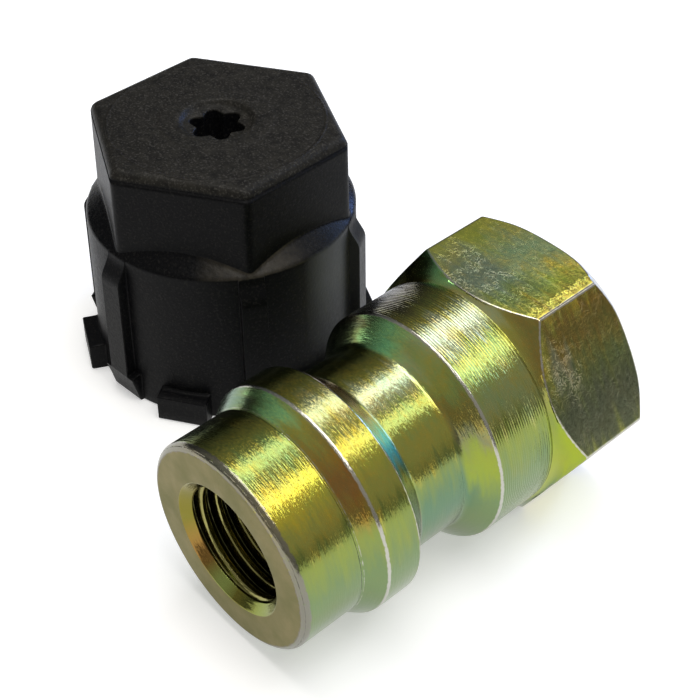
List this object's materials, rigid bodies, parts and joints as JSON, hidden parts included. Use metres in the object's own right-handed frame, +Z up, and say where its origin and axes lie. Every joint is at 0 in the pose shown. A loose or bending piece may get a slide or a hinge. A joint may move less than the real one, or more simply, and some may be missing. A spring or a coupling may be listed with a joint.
{
  "type": "refrigerant service port adapter with screw cap",
  "caption": "Straight refrigerant service port adapter turned from hexagon bar, lying on its side, with a spring valve inside and its ribbed black screw cap standing beside it.",
  "frame": {"origin": "middle of the bottom of the box round the adapter and its cap, on the surface they rest on", "axes": "+Y close to the adapter's axis, from the tip to the hexagon; +Z up; the cap stands on the -X side"},
  "size_m": [0.0498, 0.0334, 0.0215],
  "materials": {
    "chromated_steel": "yellow chromate over zinc, turned",
    "core_brass": "machined",
    "spring_steel": "drawn wire",
    "seal_rubber": "smooth",
    "cap_plastic": "moulded, fine grain"
  },
  "bodies": {
    "adapter": {"adapter_body": "chromated_steel", "core_plug": "core_brass", "core_barrel": "core_brass", "core_seal_ring": "seal_rubber", "core_spring": "spring_steel", "depressor": "core_brass", "line_seal_ring": "seal_rubber", "service_cap": "cap_plastic", "cap_seal_ring": "seal_rubber"},
    "valve_stem": {"core_pin": "spring_steel", "core_poppet": "core_brass", "poppet_seal": "seal_rubber"}
  },
  "joints": [
    {"name": "valve_stroke", "type": "slide", "parent": "adapter", "child": "valve_stem", "axis": [0, 0.9995, 0.0313], "range_m": [0, 0.0012], "stiffness_N_per_m": 1500, "springref_m": -0.002, "deforming": ["core_spring"]}
  ]
}
